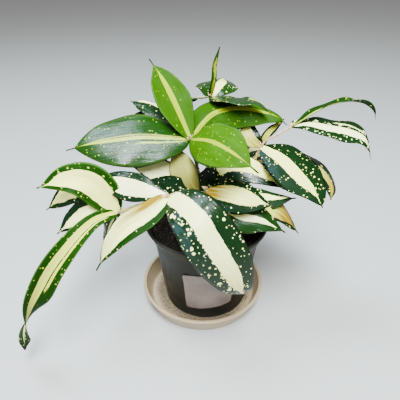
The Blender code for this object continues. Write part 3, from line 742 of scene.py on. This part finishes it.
def caneTree(sizes, material):
    # a cane swept along its guide with a swelling at each node, a sheath wrapped below each, and
    # small scales standing out of the places where leaves grow
    tree, n, given = geometryTree("canes", sizes)
    line = n.geo("MeshToCurve", given["Geometry"])
    line = n.geo("ResampleCurve", line, True, given["steps"])
    away = abs((n.outs("GeometryNodeSplineParameter")["Length"] / given["nodeSpacing"]).math("FRACT") - 0.5)
    near = 2 ** (away * away * -300)
    radius = n.stored("radius")
    line = n.store(line, "ring", near)
    line = n.store(line, "sheath", 0)
    circle = n.geo("CurvePrimitiveCircle", {"Resolution": given["sides"], "Radius": 1},
                   mode="RADIUS")
    stalk = n.geo("CurveToMesh", {
        "Curve": line, "Profile Curve": circle, "Scale": radius * (near * given["nodeSwell"] + 1),
        "Fill Caps": True})
    stalk = n.geo("SetShadeSmooth", stalk)

    collar = n.geo("MeshCone", {
        "Vertices": given["sides"], "Radius Top": given["sheathWide"],
        "Radius Bottom": given["sheathNarrow"], "Depth": given["sheathLength"]})
    spots = n.outs("GeometryNodeCurveToPoints", {"Curve": line, "Length": given["nodeSpacing"]},
                   mode="LENGTH")
    sheaths = n.copies(spots["Points"], collar, spots["Rotation"], radius)

    scale = n.geo("MeshCone", {
        "Vertices": 6, "Radius Top": 0.0002, "Radius Bottom": given["bractRadius"],
        "Depth": given["bractLength"]})
    aim = n.get("FunctionNodeAlignRotationToVector", {"Vector": n.stored("aim", "FLOAT_VECTOR")},
                axis="Z")
    bracts = n.copies(given["Geometry"], scale, aim, chosen=n.stored("bract") > 0.5)
    endTree(n, n.join([stalk, n.store(sheaths, "sheath", 1, "INSTANCE"),
                       n.store(bracts, "sheath", 1, "INSTANCE")]), material)
    return tree


def caneGuide(name, stem, seed):
    # the cane's centre line, and loose points round each whorl for its scales
    p = caneShape
    draw = np.random.default_rng(seed)
    x, y = stem["foot"]
    joints = stem["joints"]
    route = [(x, y, p["footZ"]), (x, y, p["soilZ"])] + [place for place, radius, leaves in joints]
    thick = [joints[0][1]] * 2 + [radius for place, radius, leaves in joints]
    steps = p["stepsPerJoint"] * (len(route) - 1) + 1
    centres = curveThrough(route, steps)
    end = centres[-1] + (centres[-1] - centres[-2]) / np.linalg.norm(centres[-1] - centres[-2]) * 3
    vertices = [point * mm for point in centres] + [end * mm]
    radii = list(np.interp(np.linspace(0, len(thick) - 1, steps), range(len(thick)), thick))
    radii.append(radii[-1] * 0.6)
    edges = [(k, k + 1) for k in range(steps)]
    bract = [0] * len(vertices)
    aims = [(0, 0, 1)] * len(vertices)
    for place, radius, leaves in joints:
        for k in range(p["bracts"] if leaves else 0):
            angle = fullTurn * (k + draw.uniform(0, 0.6)) / p["bracts"]
            aimed = Vector((math.cos(angle), math.sin(angle), draw.uniform(0.5, 1.4))).normalized()
            vertices.append((Vector(place) + aimed * (radius + 0.4)) * mm)
            bract.append(1)
            aims.append(tuple(aimed))
    guide = meshObject(name, vertices, edges, [])
    pointValues(guide, "radius", [r * mm for r in radii] + [0] * (len(vertices) - len(radii)))
    pointValues(guide, "bract", bract)
    pointValues(guide, "aim", aims)
    # green below, creamy towards the tips that have lost their green
    heights = [v[2] / mm for v in vertices]
    pointValues(guide, "tone", np.interp(heights, (100, 200), (0.05, stem.get("creamTop", 0.12))))
    return guide


def buildCanes():
    sizes = treeSizes(caneShape, ("nodeSpacing", "bractLength", "bractRadius"),
                      ("sides", "nodeSwell", "sheathLength", "sheathWide", "sheathNarrow"))
    tree = caneTree({**sizes, "steps": 1}, caneMaterial())
    for count, (node, stem) in enumerate(stems.items()):
        guide = caneGuide(node.replace("stem", "cane"), stem, 40 + count)
        cane = grown(guide, tree, {**sizes, "steps": len(guide.data.edges) * 3})
        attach(cane, "root")
        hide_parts(node)
    print("canes:", len(stems))


buildCanes()


def turnedPiece(name, outline, centreX, sides, material):
    # a closed solid turned about an upright axis; the outline runs from axis to axis
    work = bmesh.new()
    rings = [[work.verts.new(roundPlace(radius, fullTurn * k / sides, z, centreX)) for k in range(sides)]
             for radius, z in outline[1:-1]]
    for lower, upper in zip(rings, rings[1:]):
        for k in range(sides):
            m = (k + 1) % sides
            work.faces.new((lower[k], lower[m], upper[m], upper[k]))
    for (radius, z), ring in ((outline[0], rings[0]), (outline[-1], rings[-1])):
        pole = work.verts.new((centreX * mm, 0, z * mm))
        for k in range(sides):
            work.faces.new((pole, ring[k], ring[(k + 1) % sides]))
    return smoothPiece(work, name, material, 50)


def rounded(corners):
    # corners are (radius, z, rounding); each rounding above zero becomes a small arc
    outline = []
    for k, (radius, z, bend) in enumerate(corners):
        here = Vector((radius, z))
        if not bend:
            outline.append((radius, z))
            continue
        before, after = Vector(corners[k - 1][:2]) - here, Vector(corners[k + 1][:2]) - here
        reach = min(bend, before.length * 0.48, after.length * 0.48)
        start = here + before.normalized() * reach
        finish = here + after.normalized() * reach
        for t in (0, 0.25, 0.5, 0.75, 1):
            outline.append(tuple(start * (1 - t) ** 2 + here * 2 * t * (1 - t) + finish * t ** 2))
    return outline


saucerShape = {
    "footRadius": 60,
    "floor": 2.2,
    "wall": 1.7,
    "lip": 3.6,         # width of the rolled rim
    "sides": 128,
}

saucerPaint = {
    "plastic": (0.37, 0.265, 0.155, 1),
    "dirt": (0.05, 0.032, 0.016, 1),
    "water": (0.28, 0.2, 0.11, 1),
    "tideZ": 13.5,      # of the mark that standing water left
}


def saucerMaterial():
    p = saucerPaint
    n = newMaterial("creamPlastic")
    place = n.place()
    x, y, z = n.outs("ShaderNodeSeparateXYZ", place).values()
    fromAxis = (x * x + y * y).math("SQRT") * perMetre
    high = z * perMetre
    cloud = n.noise(place, 38, 4, 0.6)
    grit = n.noise(place, 420, 5, 0.65)
    # inside, silt lies round the pot's foot and thins out, with a tide mark a little higher up
    insideIt = fromAxis.ramp(63.5, 61.5) * high.ramp(1.5, 2)
    near = (fromAxis + cloud * 14).ramp(66, 56)
    silt = insideIt * near * grit.ramp(0.36, 0.52, 0.5, 1)
    mark = abs(cloud * 5 + high - p["tideZ"]).ramp(0.9, 0.1) * insideIt
    colour = n.shaded(p["plastic"], cloud.between(0.93, 1.06))
    colour = n.mix(mark * 0.45, colour, p["water"])
    colour = n.mix(silt * 0.8, colour, p["dirt"])
    scuff = grit.ramp(0.62, 0.72) * high.ramp(4, 0, 0, 0.6)
    colour = n.mix(scuff, colour, p["water"])
    fine = n.bump(n.noise(place, 1400, 2), 0.0001, 0.25)
    return n.surface(colour, cloud.between(0.3, 0.42) + silt * 0.4,
                     n.bump(silt, 0.0004, 0.6, fine))


def buildSaucer():
    p = saucerShape
    low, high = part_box("saucer")
    rim, top = (high[0] - low[0]) / 2 / mm, high[2] / mm
    foot, lip, wall, floor = p["footRadius"], p["lip"], p["wall"], p["floor"]
    corners = [
        (0, 0.6, 0), (foot - 3.5, 0.6, 0.3), (foot - 3, 0, 0.3), (foot, 0, 0.5), (foot + 1.2, 0.8, 0.8),
        (rim - 1.7, top - 3.4, 0.3), (rim, top - 2.7, 0.7), (rim, top - 0.3, 1.3),
        (rim - lip / 2, top, 1.2), (rim - lip, top - 0.3, 1.2), (rim - lip - 0.2, top - 2.2, 0.4),
        (foot + 1.2 - wall, floor + 1.6, 1.5), (foot - 2, floor, 1.2),
        (foot - 12, floor, 0.3), (foot - 12.4, floor + 0.5, 0.2), (foot - 13.2, floor + 0.5, 0.2),
        (foot - 13.6, floor, 0.3), (0, floor, 0),
    ]
    saucer = turnedPiece("saucerDish", rounded(corners), (low[0] + high[0]) / 2 / mm, p["sides"],
                         saucerMaterial())
    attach(saucer, "root")
    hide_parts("saucer")
    print("saucer turned")


buildSaucer()


potShape = {
    "footRadius": 46,
    "shoulderRadius": 56.3,
    "shoulderZ": 86,
    "wall": 1.4,
    "floor": 1.8,
    "ledge": 1.6,       # how far the rim band stands out
    "bead": 1.2,
    "beadHeight": 3,
    "drainRadius": 4,
    "drainRing": 30,
    "drainHoles": 4,
    "sides": 128,
}

potPaint = {
    "plastic": (0.0145, 0.0137, 0.0108, 1),
    "worn": (0.016, 0.0142, 0.01, 1),
    "dust": (0.036, 0.033, 0.026, 1),
    "shine": 0.12,
}


def potMaterial():
    p = potPaint
    n = newMaterial("dustyPotPlastic")
    place = n.place()
    high = n.outs("ShaderNodeSeparateXYZ", place)["Z"] * perMetre
    cloud = n.noise(place, 30, 4, 0.6)
    grit = n.noise(place, 500, 5, 0.7)
    runs = n.noise(place * (220, 220, 14), 1, 3, 0.6)
    colour = n.mix(cloud.ramp(0.35, 0.7), p["plastic"], p["worn"])
    splash = grit.ramp(0.5, 0.62) * high.ramp(76, 90) * cloud.ramp(0.35, 0.6, 0.25, 0.9)
    rimDust = grit.ramp(0.35, 0.7, 0.2, 0.8) * high.ramp(99.5, 103)
    foot = high.ramp(16, 4) * grit.ramp(0.4, 0.6, 0.2, 0.7)
    dusty = runs.ramp(0.52, 0.7) * 0.35
    for part in (splash, rimDust, foot):
        dusty = dusty.math("MAXIMUM", part)
    colour = n.mix(dusty, colour, p["dust"])
    fine = n.bump(n.noise(place, 900, 2), 0.0001, 0.3)
    return n.surface(colour, cloud.between(0.36, 0.5) + dusty * 0.35,
                     n.bump(grit, 0.0002, 0.35, fine), p["shine"])


potLow, potHigh = [[side / mm for side in corner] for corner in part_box("pot")]
potMiddle = (potLow[0] + potHigh[0]) / 2


def potRadius(z):
    # outside of the plain wall below the shoulder
    p = potShape
    rise = (z - potLow[2]) / (p["shoulderZ"] - potLow[2])
    return p["footRadius"] + (p["shoulderRadius"] - p["footRadius"]) * rise


def buildPot():
    p = potShape
    rim = (potHigh[0] - potLow[0]) / 2
    foot, top = potLow[2], potHigh[2]
    floor, wall, shoulder = foot + p["floor"], p["wall"], p["shoulderZ"]
    bandLow = p["shoulderRadius"] + p["ledge"]
    bandHigh, bandTop = rim - p["bead"], top - p["beadHeight"]
    corners = [
        (0, foot + 0.5, 0), (p["footRadius"] - 4.5, foot + 0.5, 0.3), (p["footRadius"] - 4, foot, 0.3),
        (p["footRadius"] - 0.2, foot, 0.8), (potRadius(foot + 1.2), foot + 1.2, 0.8),
        (potRadius(24), 24, 0), (potRadius(24.4) + 0.25, 24.4, 0), (potRadius(50), 50, 0),
        (potRadius(shoulder), shoulder, 0.8), (bandLow, shoulder + 1, 0.7),
        (bandHigh, bandTop, 0.6), (rim, bandTop + 0.9, 0.5), (rim, top, 1),
        (rim - 2.2, top, 0.8), (rim - 2.5, bandTop, 0.8),
        (bandLow - wall - 0.4, shoulder + 1.2, 1), (potRadius(shoulder) - wall, shoulder - 1, 0.8),
        (potRadius(floor + 1.5) - wall, floor + 1.5, 1.4), (p["footRadius"] - wall - 1.5, floor, 1),
        (0, floor, 0),
    ]
    pot = turnedPiece("nurseryPot", rounded(corners), potMiddle, p["sides"], potMaterial())
    drills = bpy.data.collections.new("drills")
    bpy.context.scene.collection.children.link(drills)
    hole = [(0, foot - 2), (p["drainRadius"], foot - 2), (p["drainRadius"], floor + 2), (0, floor + 2)]
    for k in range(p["drainHoles"]):
        angle = fullTurn * (k + 0.5) / p["drainHoles"]
        drill = turnedPiece("drill", hole, 0, 32, None)
        x, y, z = roundPlace(p["drainRing"], angle, 0, potMiddle)
        for vertex in drill.data.vertices:
            vertex.co.x += x
            vertex.co.y += y
        bpy.context.scene.collection.objects.unlink(drill)
        drills.objects.link(drill)
    cut = pot.modifiers.new("Drain holes", "BOOLEAN")
    cut.operand_type = "COLLECTION"
    cut.collection = drills
    applied(pot)
    for drill in list(drills.objects):
        bpy.data.objects.remove(drill, do_unlink=True)
    bpy.data.collections.remove(drills)
    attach(pot, "root")
    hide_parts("pot")
    print("pot turned and drained")


buildPot()


labelShape = {
    "lowZ": 20,
    "highZ": 71,
    "halfAngle": 29,
    "turn": 2.5,        # degrees that its middle lies to the right
    "rise": 3,        # how much higher the right edge sits, each way
    "thickness": 0.22,
    "gap": 0.3,
    "corner": 2.5,      # rounding of its corners
    "wrinkle": 0.35,
    "lift": 1.6,        # how far its upper left corner has come off the wall
    "columns": 72,
    "rows": 56,
}

labelPaint = {
    "paper": (0.2, 0.145, 0.125, 1),
    "faded": (0.26, 0.2, 0.175, 1),
    "smudge": (0.11, 0.085, 0.075, 1),
}


def labelMaterial():
    p = labelPaint
    n = newMaterial("plainLabelPaper")
    place = n.place()
    cloud = n.noise(place, 45, 3, 0.6)
    fibre = n.noise(place * (900, 900, 2600), 1, 3, 0.7)
    grit = n.noise(place, 260, 5, 0.7)
    colour = n.mix(cloud.ramp(0.35, 0.65), p["paper"], p["faded"])
    colour = n.mix(grit.ramp(0.6, 0.74, 0, 0.5), colour, p["smudge"])
    colour = n.shaded(colour, fibre.between(0.93, 1.05))
    return n.surface(colour, cloud.between(0.62, 0.8), n.bump(fibre, 0.0001, 0.5))


def labelPlace(u, v, depth):
    # a point of the sheet; u and v run from -1 to 1 across it and up it
    p = labelShape
    wide = math.radians(p["halfAngle"]) * potRadius((p["lowZ"] + p["highZ"]) / 2)
    tall = (p["highZ"] - p["lowZ"]) / 2
    # corners drawn in to a small round
    overU = max(0, abs(u) * wide - (wide - p["corner"])) / p["corner"]
    overV = max(0, abs(v) * tall - (tall - p["corner"])) / p["corner"]
    pull = max(0, math.hypot(overU, overV) - max(overU, overV)) * p["corner"] * 0.7
    u -= math.copysign(pull * (overV > 0), u) / wide
    v -= math.copysign(pull * (overU > 0), v) / tall
    angle = math.radians(p["turn"] + p["halfAngle"] * u - 90)
    z = p["lowZ"] + tall * (v + 1) + p["rise"] * u
    crumple = noise.noise(Vector((u * 2.2, v * 1.6, 0.3)))
    crumple += 0.4 * noise.noise(Vector((u * 6, v * 5, 4.1)))
    lifted = p["lift"] * max(0, -u - 0.72) * max(0, v - 0.55) * 7
    out = p["gap"] + depth + p["wrinkle"] * max(0, crumple) + lifted
    return roundPlace(potRadius(z) + out, angle, z, potMiddle)


def buildLabel():
    columns, rows = labelShape["columns"], labelShape["rows"]
    work = bmesh.new()
    layers = []
    for depth in (0, labelShape["thickness"]):
        layers.append([[work.verts.new(labelPlace(2 * column / columns - 1, 2 * row / rows - 1, depth))
                        for column in range(columns + 1)] for row in range(rows + 1)])
    for grid in layers:
        for row in range(rows):
            for column in range(columns):
                work.faces.new((grid[row][column], grid[row][column + 1], grid[row + 1][column + 1],
                                grid[row + 1][column]))
    back, front = layers
    rim = [(0, c) for c in range(columns)] + [(r, columns) for r in range(rows)]
    rim += [(rows, c) for c in range(columns, 0, -1)] + [(r, 0) for r in range(rows, 0, -1)]
    for (r, c), (r2, c2) in zip(rim, rim[1:] + rim[:1]):
        work.faces.new((back[r][c], back[r2][c2], front[r2][c2], front[r][c]))
    label = smoothPiece(work, "paperLabel", labelMaterial(), 60)
    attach(label, "root")
    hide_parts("label")
    print("label laid on")


buildLabel()


soilShape = {
    "topZ": 93,           # faces of the root ball above this carry crumbs
    "crumbsPerCm2": 34,
    "crumbSmall": 0.35,
    "crumbLarge": 1.5,
    "chipsPerCm2": 1.6,
    "chipSmall": 1.2,
    "chipLarge": 2.6,
    "siltPerCm2": 3,
    "siltSmall": 0.2,
    "siltLarge": 0.8,
    "siltInner": 48,
    "siltOuter": 58.5,
}

soilPaint = {
    "peat": (0.004, 0.0028, 0.0026, 1),
    "damp": (0.01, 0.0068, 0.005, 1),
    "fibre": (0.04, 0.025, 0.014, 1),
    "perlite": (0.4, 0.37, 0.33, 1),
}


def soilMaterial():
    p = soilPaint
    n = newMaterial("pottingSoil")
    place = n.place()
    tint = n.painted("tint")
    lumps = n.noise(place, 330, 5, 0.7)
    fibres = n.noise(place * (1900, 500, 800), 1, 4, 0.7)
    colour = n.mix(lumps.ramp(0.35, 0.65), p["peat"], p["damp"])
    colour = n.mix(fibres.ramp(0.62, 0.72, 0, 0.7), colour, p["fibre"])
    colour = n.mix(tint.ramp(0.72, 0.78, 0, 0.8), colour, p["fibre"])
    colour = n.mix(tint.ramp(0.985, 0.99), colour, p["perlite"])
    return n.surface(colour, 0.95, n.bump(lumps, 0.001, 0.8), 0.2)


def crumbTree(sizes, material):
    # uneven crumbs and a few larger chips strewn over the upward faces
    tree, n, given = geometryTree("soilCrumbs", sizes)
    facing = n.geo("InputNormal").math("DOT_PRODUCT", (0, 0, 1)) > 0.4
    z = n.outs("ShaderNodeSeparateXYZ", n.geo("InputPosition"))["Z"]
    strewn = n.geo("DistributePointsOnFaces", {
        "Mesh": given["Geometry"], "Selection": facing * (z > given["LowestZ"]),
        "Density": given["Density"], "Seed": given["Seed"]}, distribute_method="RANDOM")

    def drawn(kind, low, high, seed):
        node = n.node("FunctionNodeRandomValue", {"Seed": seed}, data_type=kind)
        for socket, limit in zip([slot for slot in node.inputs if slot.enabled], (low, high)):
            n.put(socket, limit)
        return Field(n, next(slot for slot in node.outputs if slot.enabled))

    size = drawn("FLOAT", given["Small"], given["Large"], 5)
    shape = drawn("FLOAT_VECTOR", (0.55, 0.55, 0.45), (1.25, 1.25, 0.95), 6) * size
    turn = drawn("FLOAT_VECTOR", (0, 0, 0), (6.28, 6.28, 6.28), 7)
    grain = n.geo("MeshIcoSphere", {"Radius": 1, "Subdivisions": 1})
    crumbs = n.copies(strewn, grain, turn, shape)
    endTree(n, n.store(crumbs, "tint", drawn("FLOAT", 0, 1, 8), "INSTANCE"), material)
    return tree


def buildSoil():
    p = soilShape
    paint = soilMaterial()
    rootBall = frame["nodes"]["soil"]
    rootBall.material_slots[0].material = paint
    tree = crumbTree(dict(Density=1.0, Small=1.0, Large=1.0, LowestZ=1.0, Seed=1), paint)

    def strew(bed, name, perCm2, small, large, lowest, seed):
        strewn = grown(meshFrom(bed, name), tree, dict(
            Density=perCm2 * 1e4, Small=small * mm, Large=large * mm, LowestZ=lowest * mm, Seed=seed))
        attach(strewn, "root")

    for name, density, small, large, seed in (
            ("soilCrumbs", p["crumbsPerCm2"], p["crumbSmall"], p["crumbLarge"], 3),
            ("barkChips", p["chipsPerCm2"], p["chipSmall"], p["chipLarge"], 9)):
        bed = bmesh.new()
        bed.from_mesh(rootBall.data)
        bmesh.ops.remove_doubles(bed, verts=bed.verts, dist=0.01 * mm)
        strew(bed, name, density, small, large, p["topZ"], seed)
    # a little silt washed out into the saucer
    ring = bmesh.new()
    sides = 64
    for k in range(sides):
        for radius in (p["siltInner"], p["siltOuter"]):
            ring.verts.new(roundPlace(radius, fullTurn * k / sides, saucerShape["floor"] + 0.1))
    ring.verts.ensure_lookup_table()
    for k in range(sides):
        a, b = 2 * k, 2 * ((k + 1) % sides)
        ring.faces.new([ring.verts[j] for j in (a, a + 1, b + 1, b)])
    strew(ring, "saucerSilt", p["siltPerCm2"], p["siltSmall"], p["siltLarge"], 0, 21)
    print("soil strewn")


buildSoil()


studio = {
    "floorSide": 10,
    "floorColour": (0.4, 0.39, 0.372, 1),
    "cameraAt": (-0.003, -0.340, 0.336),
    "cameraDown": 31.8,     # degrees below level
    "lens": 35,
    "sensor": 36,
    "worldLight": 0.5,
    "worldColour": (0.97, 0.98, 1, 1),
    # place, width, length, watts, colour
    "overhead": ((0.05, -0.66, 1.35), 0.4, 1.1, 95, (0.86, 0.97, 1)),
    "window": ((-0.36, 0.2, 1.35), 0.45, 0.6, 32, (0.72, 0.88, 1)),
    "front": ((-0.4, -1.6, 1.1), 2.6, 2.6, 4, (0.9, 0.95, 1)),
    "aimedAt": (0, 0, 0.12),
}


def buildStudio():
    half = studio["floorSide"] / 2
    corners = [(-half, -half, 0), (half, -half, 0), (half, half, 0), (-half, half, 0)]
    floor = meshObject("floor", corners, [], [(0, 1, 2, 3)])
    floor.data.materials.append(newMaterial("paleFloor").surface(studio["floorColour"], 0.7))

    world = bpy.data.worlds.new("softRoom")
    world.use_nodes = True
    background = world.node_tree.nodes["Background"]
    background.inputs[0].default_value = studio["worldColour"]
    background.inputs[1].default_value = studio["worldLight"]
    bpy.context.scene.world = world

    for name in ("overhead", "window", "front"):
        place, width, length, watts, colour = studio[name]
        light = bpy.data.lights.new(name, "AREA")
        light.shape = "ELLIPSE"
        light.size, light.size_y = width, length
        light.energy = watts
        light.color = colour
        holder = bpy.data.objects.new(name, light)
        holder.location = place
        direction = Vector(studio["aimedAt"]) - Vector(place)
        holder.rotation_euler = direction.to_track_quat("-Z", "Y").to_euler()
        bpy.context.scene.collection.objects.link(holder)

    camera = bpy.data.cameras.new("photoCamera")
    camera.lens = studio["lens"]
    camera.sensor_width = studio["sensor"]
    camera.clip_start = 0.01
    eye = bpy.data.objects.new("photoCamera", camera)
    eye.location = studio["cameraAt"]
    eye.rotation_euler = (math.radians(90 - studio["cameraDown"]), 0, 0)
    bpy.context.scene.collection.objects.link(eye)
    bpy.context.scene.camera = eye
    print("studio ready")


buildStudio()
